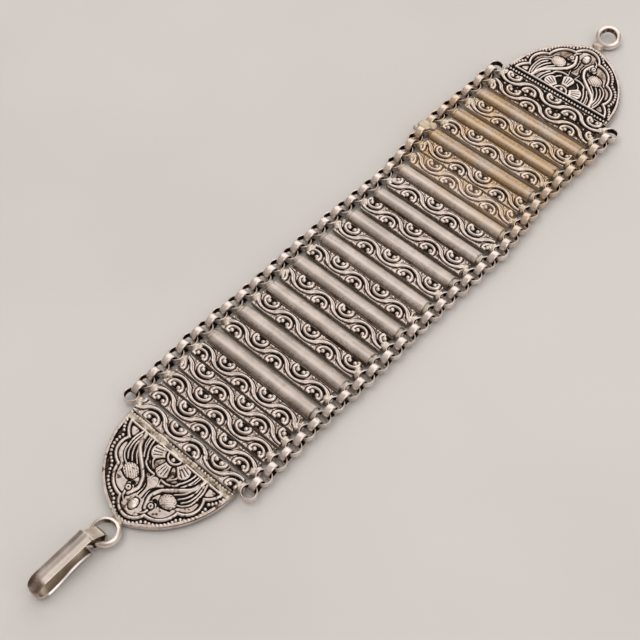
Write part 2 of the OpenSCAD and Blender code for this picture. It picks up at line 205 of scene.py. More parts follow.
def lathe(shape, profile, steps, dark, seed, centre, turn, rough, worn=0.55):
    """Turns a closed outline of radius and height about an axis, with a darkness for each point."""
    p = np.asarray(profile, float)
    a = np.arange(steps) * 2 * math.pi / steps
    n = len(p)
    r = p[:, :1] * (1 + rough * noise(np.cos(a)[None] * 3 + seed, np.sin(a)[None] * 3, 1.1, seed))
    h = p[:, 1:] + rough * noise(np.cos(a)[None] * 3, np.sin(a)[None] * 3 + seed, 1.3, seed + 1)
    v = np.stack([r * np.cos(a), r * np.sin(a), h + 0 * r], -1)
    i = np.arange(n)[:, None] * steps
    j = np.arange(steps)[None]
    i2, j2 = np.roll(i, -1, 0), np.roll(j, -1, 1)
    faces = np.stack([i + j, i + j2, i2 + j2, i2 + j], -1).reshape(-1, 4)
    m = np.array(turn, float)
    shade = np.broadcast_to(np.asarray(dark, float)[:, None], (n, steps))
    grime = noise(v[..., 0] * 2, v[..., 1] * 2 + seed, 1.0, seed + 2) * 0.25
    shape.add(
        v.reshape(-1, 3) @ m.T + np.asarray(centre, float), faces,
        dark=(shade + grime * (shade > 0.02)).ravel(), worn=(1 - shade).ravel() * worn,
    )


def link_profile():
    """Section of a chain ring: a flat band with its corners cut, more so inside."""
    r, wall, half, inner, outer = 1.8, 0.45, 0.8, 0.25, 0.12
    hole = r - wall
    return smoothed([
        (hole + inner, -half), (r - outer, -half), (r, -half + outer), (r, half - outer),
        (r - outer, half), (hole + inner, half), (hole, half - inner), (hole, inner - half),
    ])


LINK = link_profile()
# Only the inner wall of a chain ring is dark
LINK_DARK = np.clip((1.53 - LINK[:, 0]) / 0.14, 0.04, 0.85)
LINK_STEPS, LINK_ROUGH = 40, 0.012


def lump(shape, centre, size, seed, **looks):
    """A blob of solder with an uneven skin."""
    rows, cols = 9, 16
    a = np.linspace(0, math.pi, rows)[1:-1, None]
    b = np.arange(cols)[None] * 2 * math.pi / cols
    n = np.stack([np.sin(a) * np.cos(b), np.sin(a) * np.sin(b), np.cos(a) + 0 * b], -1)
    n = np.vstack([n.reshape(-1, 3), [[0, 0, 1], [0, 0, -1]]])
    k = 1 + 0.16 * noise(n[:, 0] * 2 + seed * 3.1, n[:, 1] * 2 + n[:, 2] * 2.7, 0.8, seed)
    m = rows - 2
    i = np.arange(m - 1)[:, None] * cols
    j = np.arange(cols)[None]
    j2 = np.roll(j, -1, 1)
    faces = np.stack([i + j, i + cols + j, i + cols + j2, i + j2], -1).reshape(-1, 4).tolist()
    last = (m - 1) * cols
    faces += [[m * cols, c, (c + 1) % cols] for c in range(cols)]
    faces += [[m * cols + 1, last + (c + 1) % cols, last + c] for c in range(cols)]
    verts = n * k[:, None] * np.asarray(size, float) / 2 + np.asarray(centre, float)
    shape.add(verts, faces, **looks)


def end_rings(shape, seed):
    """The two flat rings at the ends of an element, with the solder that holds them."""
    for s in (-1, 1):
        tilt = Matrix.Rotation(math.radians(1.2 * math.sin(seed * 1.7 + s)), 3, "X")
        centre = (0, s * CHAIN_Y, RING_Z)
        lathe(shape, LINK, LINK_STEPS, LINK_DARK, seed * 2 + s, centre, tilt, LINK_ROUGH)
        shift = 0.25 * math.sin(seed * 2.3 + s)
        outer, inner = (shift, s * 14.9, 1.65), (-1.5 * shift, s * 14.25, 1.95)
        lump(shape, outer, (2.6, 1.9, 1.5), seed * 2 + s, pale=0.45, dark=0.12)
        lump(shape, inner, (1.9, 1.3, 0.95), seed * 5 + s, pale=0.55, dark=0.05)


# Running vine: length of a half wave, reach of its middle line, and the radius that follows
HALF_WAVE, VINE_REACH = 5.8, 1.3
VINE_R = ((HALF_WAVE / 2) ** 2 + VINE_REACH**2) / (2 * VINE_REACH)
VINE_HALF = 0.24
# Curl in each bow of the vine: place across the bar, how flat it is, radius, half its width
CURL_MID, CURL_FLAT, CURL_R, CURL_HALF = 1.2, 0.78, 1.7, 0.44
# Small bump where two bows meet: place across and along the bar, radius
CORNER_U, CORNER_W, CORNER_R = 1.72, 2.8, 0.36
# Height of the flat ground, and how much deeper its sunk places lie
GROUND, SUNK = 0.14, 0.24
# Width of the dark line beside a form
BESIDE = 0.22
# Blobs of the leaf inside a curl: place across and along the bar, radius, height
LEAF = [
    (1.02, 0.66, 0.58, 0.52),
    (1.12, -0.78, 0.54, 0.52),
    (1.7, 1.26, 0.54, 0.44),
    (1.74, -1.34, 0.5, 0.44),
]


def outlined(gap, wide):
    """Where the dark line beside a form lies, by the distance from the form's edge."""
    return ease(gap, -0.06, 0.06) * ease(wide - gap, 0, 0.14)


def scroll(x, y, phase):
    """Height of the running vine and its curls, and how dark the sunk ground is."""
    k = np.round((y - phase) / HALF_WAVE)
    u = np.where(k % 2 == 0, 1.0, -1.0) * x
    w = y - phase - k * HALF_WAVE
    s = np.hypot(u - (VINE_R - VINE_REACH), w) - VINE_R
    part = 0.06 + 0.22 * (np.abs(w) / (HALF_WAVE / 2)) ** 1.5
    beside = np.abs(s) - part
    vine = np.maximum(np.where(beside < 0, 0.3, 0), ridge(beside, VINE_HALF, 0.44))
    corner = np.hypot(u + CORNER_U, (np.abs(w) - CORNER_W) * 0.7)
    rho = np.hypot((u - CURL_MID) / CURL_FLAT, w)
    curl = ridge(rho - CURL_R, CURL_HALF, 0.5)
    leaf = np.zeros_like(u)
    for across, up, r, height in LEAF:
        out = np.hypot(u - across, w - up)
        leaf = np.maximum(leaf, ridge(out, r, height))
    form = np.maximum.reduce([vine, curl, leaf, ridge(corner, CORNER_R, 0.3)])
    crescent = ease(-s - part, 0.2, 0.32) * ease(rho, 2.12, 2.24) * ease(2.2 - np.abs(w), 0, 0.6)
    hollow = ease(1.36 - rho, 0, 0.14)
    by_vine = outlined(beside - BESIDE, BESIDE)
    by_curl = outlined(np.abs(rho - CURL_R) - CURL_HALF, BESIDE)
    by_corner = outlined(corner - CORNER_R, 0.16) * 0.5
    line = np.maximum.reduce([by_vine, by_curl, by_corner])
    sunk = np.maximum.reduce([crescent * 0.9, hollow * 0.8, line * 0.8]) * (form < 0.2)
    return np.maximum(GROUND - SUNK * sunk, form), sunk


# How black the sunk ground of a scroll row is
SOOT = {27: 0.75, 28: 0.85}
# How much of the black is rubbed off a scroll bar
FADED = {3: 0.15, 14: 0.15, 20: 0.5, 21: 0.25, 23: 0.3, 25: 0.3}
# Looks of a scroll bar's walls
SILVER_WALL = {"dark": 0.3, "pale": 0.6, "gold": 0.7}
GOLDEN_WALL = {"dark": 0.1, "pale": 0.8, "gold": 0.5}


def shades(h, sunk, grime, start=0.045):
    """How dark each point is and how much wear it has, from how it lies against the ground round
    it.
    """
    low = blurred(h, 2) - h
    dark = np.maximum(ease(low, start, start + 0.07), sunk) + grime
    worn = np.maximum(ease(-low, 0.03, 0.14), 0.6 * ease(h, 0.26, 0.42))
    return dark, worn


def rounded(h, edge, start):
    """The relief fading out towards a rim that wear has lowered; edge is the distance from it."""
    return h * ease(edge, start, 0.12) - RIM_DROP * (1 - ease(edge, 0, 0.12))


def low_grime(h):
    """Light dirt on the ground between the forms."""
    return 0.18 * ease(0.26 - h, 0, 0.12)


def add_rings(shape, i):
    """Shifts a bar on its rings and adds the rings."""
    shape.turn(Matrix.Translation((ELEMENTS[i][ALONG], 0, 0)))
    end_rings(shape, i)


def to_its_place(shape, i):
    """Moves a bar from the middle to its place along the bracelet."""
    shape.turn(Matrix.Translation((i * PITCH - MID_X, ELEMENTS[i][SHIFT] - MID_Y, 0)))


def scroll_bar(i, name, material):
    """A flat bar with the running vine."""
    columns, rows = 41, 293
    across = np.linspace(-BAR_W / 2, BAR_W / 2, columns)
    x, y = np.meshgrid(across, np.linspace(-BAR_LEN / 2, BAR_LEN / 2, rows))
    h, sunk = scroll(x, y, ELEMENTS[i][PHASE])
    h = rounded(h, np.minimum(BAR_W / 2 - np.abs(x), BAR_LEN / 2 - np.abs(y)), -0.02)
    dark, worn = shades(h, sunk, 0.06 + 0.1 * noise(x, y + i, 1.2, i) + low_grime(h))
    tired = 0.5 + 0.5 * noise(x + 9 * i, y, 5.0, 40 + i)
    dark = dark * (0.85 + 0.15 * tired) * (1 - FADED.get(i, 0)) * (1 - 0.35 * ease(-x, 1.55, 1.85))
    # Painted shade: darker towards the +x rim and in a band left of the middle
    dark = dark + 0.11 * ease(x, 0.95, 1.35) + 0.1 * ease(0.5 - np.abs(x + 1.05), 0, 0.25)
    soot = SOOT.get(i, 0) * (0.55 + 0.45 * ease(x, -1.5, -1.0))
    dark = np.maximum(dark, soot * ease(0.2 - h, 0, 0.06))
    z = FACE_Z + h + 0.05 * noise(x, y, 6.0, i) + SKIN * noise(x, y, 0.5, i + 60)
    pale = ease(np.abs(y), 13.2, 14.4) * 0.4
    wall = GOLDEN_WALL if i >= GOLDEN_FROM else SILVER_WALL
    shape = Shape()
    slab(shape, x, y, z, wall, dark=dark, worn=worn, pale=pale)
    add_rings(shape, i)
    to_its_place(shape, i)
    shape.piece(name + "_silver", name, material)


# Plain bars: height of the flange, and place of the groove beside the crown
FLANGE_Z, GROOVE_X = 1.5, 1.75
# Solder over the left chain: the bar, and for each lump its place and width
SOLDER_BAR = 22
SOLDER = [(-0.3, 16.9, 3.0, 3.0), (0.9, 15.6, 2.7, 2.4), (-1.3, 18.0, 2.2, 2.2)]


def plain_bar(i, name, material):
    """A half round bar with a narrow flange."""
    golden = i >= GOLDEN_FROM
    half, rise, lean = 1.74, 1.22, -0.1
    arc = half * np.sin(np.linspace(-1, 1, 31) * math.pi / 2) + lean
    flange = [1.6, 1.66, 1.72, 1.78, 1.84, 1.9, 1.95, BAR_W / 2]
    xs = np.concatenate([[-BAR_W / 2, -1.93, -1.86], arc, flange])
    ends = 0.06 * np.arange(6)
    ys = np.concatenate([-BAR_LEN / 2 + ends, np.linspace(-14, 14, 57), (BAR_LEN / 2 - ends)[::-1]])
    x, y = np.meshgrid(xs, ys)
    crown = rise * np.sqrt(np.clip(1 - np.abs((x - lean) / half) ** 2.3, 0, 1))
    close = BAR_LEN / 2 - np.abs(y)
    crown = crown * (0.8 + 0.2 * ease(close, 0, 0.3))
    dent = 0.035 * noise(x * 0.4 + 5 * i, y, 2.6, 80 + i) * (crown > 0.3)
    groove = ridge(x - GROOVE_X, 0.07, 0.1)
    rims = (1 - ease(BAR_W / 2 - np.abs(x), 0, 0.1)) + (1 - ease(close, 0, 0.12))
    z = FLANGE_Z + crown + dent - groove - RIM_DROP * rims
    # Tarnish in the crease at the crown's foot, with painted shade: full on the near (-x) side,
    # about a third of it on the far side
    foot = ease(0.35 - np.abs(np.abs(x - lean) - half), 0, 0.3) * (0.42 + 0.2 * math.sin(i * 2.3))
    foot = foot * np.where(x > lean, 0.35, 1.0) * (0.5 if golden else 1.0)
    ends_dark = 0.5 * ease(1.0 - close, 0, 0.8) * noise(x, y, 0.8, i + 7)
    shaded = 0.27 * ease(x, -0.9, 0.1) if golden else 0.17 * ease(x, -0.3, 0.8)
    # Painted shade down the near (-x) flank
    near_flank_shade = 0.28 * ease(-x, 0.7, 1.4)
    foot_dark = foot * (0.7 + 0.3 * noise(x, y, 2.0, i))
    dark = np.maximum.reduce([foot_dark, groove * 2.5, ends_dark, shaded, near_flank_shade])
    # Wear on the crown, with a painted highlight along its near (-x) side
    if golden:
        worn = 0.45 * ease(crown, 0.95, 1.12) * ease(-x, 0.05, 0.55)
    else:
        worn = 0.95 * ease(crown, 1.1, 1.26) * ease(-x, -0.4, 0.6)
    shape = Shape()
    slab(shape, x, y, z, {"dark": 0.2 if golden else 0.45}, dark=dark, worn=worn)
    add_rings(shape, i)
    if i == SOLDER_BAR:
        for k, (along_bar, side, up, wide) in enumerate(SOLDER):
            lump(shape, (along_bar, side, up), (wide, 1.1 * wide, 1.2), 90 + k, pale=0.7, dark=0.15)
    to_its_place(shape, i)
    shape.piece(name + "_silver", name, material)


def chain(side, node, material):
    """The upright links between the flat rings."""
    shape = Shape()
    upright = Matrix.Rotation(math.pi / 2, 3, "X")
    for i in range(LAST):
        e, f = ELEMENTS[i], ELEMENTS[i + 1]
        yaw = math.atan2(f[SHIFT] - e[SHIFT], PITCH)
        lean = math.radians(1.5 * math.sin(i * 2.1 + side))
        turn = Matrix.Rotation(yaw, 3, "Z") @ Matrix.Rotation(lean, 3, "X") @ upright
        y = (e[SHIFT] + f[SHIFT]) / 2 + side * CHAIN_Y - MID_Y
        centre = ((i + 0.5) * PITCH - MID_X, y, RING_Z)
        seed = 200 + i * 2 + side
        lathe(shape, LINK, LINK_STEPS, LINK_DARK, seed, centre, turn, LINK_ROUGH)
    shape.piece(node + "_links", node, material)


# Stamped panels: d is the distance out from the scroll row,
# and v the distance from the leaning middle line
PANEL_LEN, PANEL_HALF, TIP_LEAN, PANEL_SIDE = 21.4, 14.65, 2.0, 0.4
ARCH_D, TIP_CUT, ROW_IN = 2.5, 0.25, 1.7
ART_SIDE, ART_LEAN = 0.1, 0.075
# Straight line along the root, and how far it reaches to either side
LINE_D, LINE_HALF = 4.0, 12.9
# Row of beads along the root: place, pitch, radius
ROW_D, BEAD_PITCH, ROW_BEAD = 2.75, 0.82, 0.36
# Beads along the scalloped line: distance from it, pitch, radius
BEAD_OUT, LOBE_PITCH, LOBE_BEAD = 1.02, 0.84, 0.4
# Tip rings, from the middle of the first bar: centre, radius, hole and half height
HOOK_RING = (-24.65, -1.35, RING_Z), 3.3, 2.3, 0.9
CATCH_RING = (LAST * PITCH + 26.05, 2.15, RING_Z), 3.25, 1.95, 1.0
# How far the catch ring leans, and which way
CATCH_LEAN, LEAN_WAY = math.radians(17), math.radians(25)
# Solder that holds the tip rings: centre and size
HOOK_SOLDER = (-21.5, -1.4, 1.75), (2.0, 3.0, 1.5)
CATCH_SOLDER = (145.0, 2.3, 1.75), (2.7, 3.0, 1.4)


def arch():
    """Centres and radii of the two arcs of the panel's outline."""
    far, near, wide = PANEL_LEN - ARCH_D, PANEL_HALF - TIP_LEAN, PANEL_HALF + TIP_LEAN
    r1 = (far * far + near * near) / (2 * near)
    r2 = (far * far + wide * wide) / (2 * wide)
    return (ARCH_D, PANEL_SIDE + PANEL_HALF - r1, r1), (ARCH_D, PANEL_SIDE + r2 - PANEL_HALF, r2)


class Arc:
    """An arc from p to q that bulges to the left."""

    def __init__(self, p, q, bulge):
        p, q = np.asarray(p, float), np.asarray(q, float)
        c = np.linalg.norm(q - p)
        self.ahead = (q - p) / c
        self.left = np.array([-self.ahead[1], self.ahead[0]])
        self.r = (c * c / 4 + bulge * bulge) / (2 * bulge)
        self.half_turn = math.asin(c / 2 / self.r)
        self.centre = (p + q) / 2 + (bulge - self.r) * self.left

    def at(self, turn, out=0.0):
        """Points at these angles from the arc's middle, and that far outside it."""
        turn = np.asarray(turn, float)[..., None]
        return self.centre + (self.r + out) * (np.sin(turn) * self.ahead + np.cos(turn) * self.left)

    def points(self, n=14):
        """That many points from end to end."""
        return self.at(np.linspace(-self.half_turn, self.half_turn, n))


def spline(points, steps=7):
    """A smooth line through the points."""
    p = np.asarray(points, float)
    p = np.vstack([2 * p[0] - p[1], p, 2 * p[-1] - p[-2]])
    t = np.linspace(0, 1, steps, endpoint=False)[:, None]
    out = []
    for a, b, c, d in zip(p, p[1:], p[2:], p[3:]):
        square, cube = 2 * a - 5 * b + 4 * c - d, 3 * b - a - 3 * c + d
        out.append(0.5 * (2 * b + (c - a) * t + square * t**2 + cube * t**3))
    return np.vstack([*out, p[-2:-1]])


def along(line, d, v, reach):
    """Distance from a line of points, and how far along it the nearest point lies, 0 to 1."""
    far = 9.0
    best, share = np.full(d.shape, far), np.zeros(d.shape)
    lo, hi = line.min(0) - reach, line.max(0) + reach
    near = (d > lo[0]) & (d < hi[0]) & (v > lo[1]) & (v < hi[1])
    px, py = d[near], v[near]
    b, s = np.full(px.shape, far), np.zeros(px.shape)
    count = len(line) - 1
    for k in range(count):
        (x0, y0), (x1, y1) = line[k], line[k + 1]
        ex, ey = x1 - x0, y1 - y0
        t = np.clip(((px - x0) * ex + (py - y0) * ey) / (ex * ex + ey * ey + 1e-12), 0, 1)
        g = np.hypot(px - x0 - t * ex, py - y0 - t * ey)
        hit = g < b
        b[hit], s[hit] = g[hit], (k + t[hit]) / count
    best[near], share[near] = b, s
    return best, share


# The scalloped line, one lobe a row: from, to, bulge
LOBES = [
    ((4.0, 12.9), (7.0, 10.7), 0.4),
    ((7.0, 10.7), (12.6, 8.4), 1.6),
    ((12.6, 8.4), (17.2, 3.4), 1.3),
]
TIP_LOBE = ((17.2, 3.4), (17.2, -3.4), 2.5)
# Ridges of half of the stamping: the points of the line,
# half its width, its height, how it thins to the end
STROKES = [
    ([(4.2, 8.4), (6.9, 7.6), (8.4, 6.1), (9.9, 4.2), (11.4, 2.5), (13.4, 1.6), (14.8, 1.9),
      (16.0, 2.4)], 0.52, 0.4, 0.2),
    ([(4.3, 9.2), (6.4, 9.7), (9.4, 9.4), (10.9, 8.3), (11.5, 7.2)], 0.27, 0.36, 0.3),
    ([(5.0, 8.9), (7.3, 9.1), (9.3, 8.6), (10.6, 7.6)], 0.24, 0.34, 0.2),
    ([(5.4, 8.4), (7.3, 8.4), (9.1, 7.7), (10.4, 6.6)], 0.24, 0.32, 0.2),
    ([(7.2, 7.7), (8.8, 6.8), (10.2, 5.3)], 0.22, 0.3, 0.2),
    ([(16.0, 3.2), (16.9, 2.9), (17.6, 2.1)], 0.34, 0.36, 0.6),
    ([(9.8, 0.9), (11.2, 1.3), (13.0, 0.7), (14.8, 0.9)], 0.18, 0.2, 0.0),
    ([(7.7, 4.6), (8.9, 4.0), (9.6, 2.4), (9.6, 1.0)], 0.26, 0.32, 0.0),
    ([(6.5, 3.3), (7.6, 3.2), (8.6, 2.3)], 0.3, 0.28, 0.5),
    ([(4.3, 7.2), (6.0, 6.9), (7.6, 5.6)], 0.2, 0.2, 0.0),
]
# Black lines cut beside the forms of half of the stamping
CUTS = [
    [(13.4, 3.9), (13.9, 4.7), (13.7, 5.7), (13.3, 6.9)],
    [(14.9, 0.5), (12.8, 0.5), (11.6, 1.3), (10.3, 2.9)],
]
# Flower: middle lines and half width of its petals in degrees, where they start and end,
# radius and first angle of the lines round them
PETALS, PETAL_HALF, PETAL_IN, PETAL_OUT = (0, 66, -66), 21, 2.15, 5.5
FLOWER_LINES = [(5.95, 40), (6.75, 46)]
# Bird: body, head and eye, each by its distance out and from the middle line
BODY, HEAD, EYE = (12.1, 5.3), (14.8, 3.2), (15.0, 3.2)
# Pit between a bird's body and head, and the bud at the tip
PIT, BUD_D = (13.6, 3.1), 16.8


def petal(rho, turn, at):
    """A fan of a petal from the flower's middle: height, with three fine grooves."""
    side = (turn - at) / PETAL_HALF
    width = np.abs(side)
    end = PETAL_OUT - 0.8 * width**2
    inside = np.minimum(ease(1.0 - width, 0, 0.14), ease(end - rho, 0, 0.16))
    inside = inside * ease(rho, PETAL_IN, PETAL_IN + 0.25)
    per_degree = 0.0175 * rho * PETAL_HALF
    groove = sum(ridge((side - g) * per_degree, 0.13, 0.2) for g in (-0.45, 0.0, 0.45))
    groove = groove * ease(rho, PETAL_IN + 0.5, PETAL_IN + 0.9)
    return inside * (0.36 - groove * ease(PETAL_OUT - 0.4 - rho, 0, 0.3))


def flower(rho, turn, from_heart):
    """Height of the half flower: petals, the lines round them, the line and the heart inside."""
    forms = [petal(rho, turn, at) for at in PETALS]
    forms += [ridge(rho - r, 0.22, 0.3) * ease(np.abs(turn), lo, lo + 8) for r, lo in FLOWER_LINES]
    forms += [ridge(rho - 1.7, 0.28, 0.38), ridge(from_heart, 0.55, 0.36)]
    return np.maximum.reduce(forms)


def bird_body(d, m):
    """Height of a bird's hatched body."""
    ud, uv = d - BODY[0], m - BODY[1]
    wing = ridge(np.hypot(ud * 0.95 + uv * 0.2, (uv - 0.25 * ud) * 0.8), 1.75, 0.42)
    hatch = ridge(((ud * 0.8 + uv * 0.6) * 2.1) % 1 - 0.5, 0.3, 1.0) * 0.1
    hatch = hatch + ridge((uv * 2.1) % 1 - 0.5, 0.3, 0.05)
    return wing - hatch * ease(wing, 0.15, 0.3)


def stamping(d, y, wear):
    """Height of the panel's stamped forms at the distance out d, and how dark the ground is."""
    v = y - ART_SIDE - ART_LEAN * d
    m = np.abs(v)
    top = lambda a: np.maximum(h, a)
    # Rim, root line and the row of beads under it
    (x1, y1, r1), (x2, y2, r2) = arch()
    inset = np.minimum(r1 - np.hypot(d - x1, y - y1), r2 - np.hypot(d - x2, y - y2))
    inset = np.minimum(inset, PANEL_LEN - TIP_CUT - d)
    h = 0.25 * ease(0.72 - inset, 0, 0.15) * (d > 1.9)
    h = top(ridge(d - LINE_D, 0.3, 0.4) * (m < LINE_HALF))
    w = (y / BEAD_PITCH - np.round(y / BEAD_PITCH)) * BEAD_PITCH
    h = top(ridge(np.hypot(d - ROW_D, w), ROW_BEAD, 0.36))
    # Scalloped line, the beads outside it and the field inside
    lobes = [Arc(*row).points() for row in LOBES]
    tip = Arc(*TIP_LOBE).points(28)
    for line, side in [(lobe, m) for lobe in lobes] + [(tip, v)]:
        h = top(ridge(along(line, d, side, 0.6)[0], 0.36, 0.44))
    for at, side in bead_places():
        h = top(ridge(np.hypot(d - at, v - side), LOBE_BEAD, 0.42))
    outline = np.vstack([*lobes, tip[:15]])
    limit = np.interp(d, outline[:, 0], outline[:, 1], left=LINE_HALF, right=0)
    field = (d > LINE_D) & (m < limit)
    # Feathers and leaves, flower, birds, bud
    for points, half, height, thin in STROKES:
        g, t = along(spline(points), d, m, 0.8)
        h = top(ridge(g, half * (1 - thin * t), height))
    rho, turn = np.hypot(d - LINE_D, v), np.degrees(np.arctan2(v, d - LINE_D + 1e-9))
    h = top(flower(rho, turn, np.hypot(d - 4.9, v)) * (d > LINE_D))
    h = top(bird_body(d, m))
    h = top(ridge(np.hypot(d - HEAD[0], m - HEAD[1]), 1.15, 0.42))
    eye = np.hypot(d - EYE[0], m - EYE[1])
    h = np.where(eye < 0.9, ridge(eye - 0.4, 0.26, 0.5), h)
    bud = np.hypot((d - BUD_D) / 1.35, v)
    h = h * ease(bud, 0.95, 1.25)
    h = np.maximum(h, ridge(bud, 1.0, 0.6))
    h = h - ridge(d - 16.3 - 0.25 * v * v, 0.1, 0.12) * (bud < 0.8)
    pit = ease(0.75 - np.hypot((d - PIT[0]) * 1.3, m - PIT[1]), 0, 0.3)
    h = np.maximum(h * (1 - pit), field * 0.1 * (1 - pit))
    # Black ground: outside the field, inside it, round the flower, beside every form
    low = 1 - ease(h, 0.13, 0.2)
    sunk = (~field & (d > 3.2) & (inset > 0.7)) * low * (0.75 - 0.3 * wear)
    sunk = np.maximum(sunk, field * low * (0.32 - 0.56 * wear))
    near = np.maximum((rho < 6.9) & (rho > 1.95), rho < 1.5) * field * low
    sunk = np.maximum(sunk, near * (0.75 - wear))
    reach = 0.03 + 0.19 * wear
    beside = ease(blurred(1 - low, 4), reach, reach + 0.16) * low * (d > 2)
    sunk = np.maximum(sunk, beside * (0.97 - 0.2 * wear))
    sunk = np.maximum(sunk, (np.abs(d - 3.35) < 0.2) * 0.8 + (np.abs(d - 2.2) < 0.13) * 0.6)
    for points in CUTS:
        sunk = np.maximum(sunk, ease(0.24 - along(spline(points), d, m, 0.6)[0], 0, 0.12) * 0.9)
    sunk = np.maximum(sunk, ease(0.15 - np.abs(eye - 0.74), 0, 0.08) * 0.9)
    sunk = np.maximum(sunk, ease(0.2 - eye, 0, 0.1) * 0.9)
    return h - 0.1 * sunk, np.maximum(sunk, pit * 0.9), inset


def bead_places():
    """Centres of the beads outside the scalloped line, without those that would be crowded."""
    rows = [*LOBES, TIP_LOBE]
    rows += [((q[0], -q[1]), (p[0], -p[1]), bulge) for p, q, bulge in LOBES[::-1]]
    arcs = [Arc(*row) for row in rows]
    lines = [arc.points(40) for arc in arcs]
    kept = []
    for k, arc in enumerate(arcs):
        a = arc.half_turn
        n = max(1, round(2 * a * (arc.r + BEAD_OUT) / LOBE_PITCH))
        for spot in arc.at((np.arange(n) + 0.5) / n * 2 * a - a, BEAD_OUT):
            others = [np.hypot(*(line - spot).T).min() for j, line in enumerate(lines) if j != k]
            close = [np.hypot(*(spot - b)) for b in kept]
            if min(others) > BEAD_OUT - 0.12 and min(close, default=BEAD_OUT) > 0.62:
                kept.append(spot)
    return kept


def panel(shape, phase, wear, soot, seed):
    """The panel with its scroll row, lying outwards along +X."""
    (x1, y1, r1), (x2, y2, r2) = arch()
    end = PANEL_LEN - TIP_CUT
    in_row, in_art, crossways = 36, 178, 281
    row_xs = np.linspace(-ROW_IN, BAR_W / 2, in_row)
    xs = np.concatenate([row_xs, np.linspace(BAR_W / 2 + 0.02, end, in_art)])
    w = np.linspace(0, 1, crossways)
    rect = xs <= BAR_W / 2
    inside = np.maximum(xs, ARCH_D)
    hi = y1 + np.sqrt(r1 * r1 - (inside - x1) ** 2)
    lo = y2 - np.sqrt(r2 * r2 - (inside - x2) ** 2)
    hi = np.where(rect, BAR_LEN / 2, hi)
    lo = np.where(rect, -BAR_LEN / 2, lo)
    x = np.broadcast_to(xs[None], (len(w), len(xs))).copy()
    y = lo[None] + (hi - lo)[None] * w[:, None]
    rows, sunk_row = scroll(x, y, phase)
    forms, sunk, inset = stamping(x, y, wear)
    row = ease(1.95 - x, 0, 0.12)
    edge = np.minimum(np.minimum(y - lo[None], hi[None] - y), np.minimum(x + ROW_IN, end - x))
    h = rounded(rows * row + forms * (1 - row), edge, -0.05)
    ground = np.maximum(sunk_row, soot * ease(0.2 - rows, 0, 0.06)) * row + sunk * (1 - row)
    grime = 0.1 * noise(x, y, 1.3, seed) + 0.04 * noise(x, y, 0.4, seed + 7)
    specks = noise(x, y, 0.5, seed + 11) + 0.5 * noise(x, y, 3.0, seed + 12)
    grime = grime + wear * 0.9 * ease(specks, 0.35, 0.9) + row * low_grime(h)
    dark, worn = shades(h, ground, grime, 0.05 + 0.015 * wear)
    patchy = 0.35 + 0.65 * noise(x, y, 2.3, seed + 3)
    smear = ease(0.8 - np.abs(x - 3.2) + 0.5 * patchy, 0.1, 0.5) * (wear > 0)
    spread = noise(x, y, 2.6, seed + 5) * 0.6 + 0.4 - np.abs(x - 2.2) * 0.25
    stain = ease(spread, 0.1, 0.5) * wear
    h = h * (1 - 0.25 * wear) * (1 - 0.8 * smear) + 0.18 * smear
    dark = dark * (1 - 0.85 * smear) + smear * (0.16 + 0.22 * noise(x, y, 0.9, seed + 9))
    dark = np.maximum(dark, ease(0.5 - inset, 0, 0.2) * (x > 2.5) * (0.3 - 0.3 * wear))
    worn = np.maximum(worn, wear * 0.5 * (h > 0.05)) * (1 - smear)
    pale = np.clip(0.9 * smear + 0.4 * stain, 0, 1)
    bow = 0.1 * noise(x, y, 8.0, seed)
    z = FACE_Z + h + bow * ease(edge, 0, 3) + SKIN * noise(x, y, 0.5, seed + 1)
    slab(shape, x, y, z, {"dark": 0.2}, dark=dark, worn=worn, pale=pale)


def tip_ring(shape, centre, r, hole, h, lean, seed):
    """The ring at a panel's tip, round outside and flat inside; h is half its height."""
    edge, steps = 0.25, 72
    t = np.radians(np.linspace(-90, 90, 13))
    outer = np.stack([r - h + h * np.cos(t), h * np.sin(t)], -1)
    flat = [(hole + edge, h), (hole, h - edge), (hole, edge - h)]
    p = smoothed(np.vstack([[(hole + edge, -h)], outer, flat]))
    dark = np.clip((hole + 0.2 - p[:, 0]) / 0.3, 0.0, 0.42)
    turn = Matrix.Rotation(LEAN_WAY, 3, "Z") @ Matrix.Rotation(-lean, 3, "Y")
    # Outside lighter: wear, with a painted highlight
    lathe(shape, p, steps, dark, seed, centre, turn, 0.008, 0.9)


def hook_end_panel(material):
    """The panel with more wear, turned to face the hook, with the level ring that the hook hangs
    on.
    """
    e = ELEMENTS[0]
    shape = Shape()
    panel(shape, -e[PHASE], wear=0.45, soot=0, seed=301)
    shape.turn(Matrix.Rotation(math.pi, 4, "Z"))
    end_rings(shape, 301)
    shape.turn(Matrix.Translation((0, e[SHIFT], 0)))
    tip_ring(shape, *HOOK_RING, 0.0, 311)
    lump(shape, *HOOK_SOLDER, 312, pale=0.3, gold=0.5, dark=0.2)
    shape.turn(Matrix.Translation((-MID_X, -MID_Y, 0)))
    shape.piece("hook_end_panel_silver", "hook_end_panel", material)


def ring_end_panel(material):
    """The crisper panel, with the catch ring."""
    e = ELEMENTS[LAST]
    shape = Shape()
    panel(shape, e[PHASE], wear=0.0, soot=SOOT[LAST], seed=321)
    shape.turn(Matrix.Translation((e[ALONG], 0, 0)) @ Matrix.Rotation(math.radians(0.8), 4, "Z"))
    end_rings(shape, 321)
    shape.turn(Matrix.Translation((LAST * PITCH, e[SHIFT], 0)))
    tip_ring(shape, *CATCH_RING, CATCH_LEAN, 331)
    lump(shape, *CATCH_SOLDER, 332, pale=0.2, gold=0.6, dark=0.15)
    shape.turn(Matrix.Translation((-MID_X, -MID_Y, 0)))
    shape.piece("ring_end_panel_silver", "ring_end_panel", material)


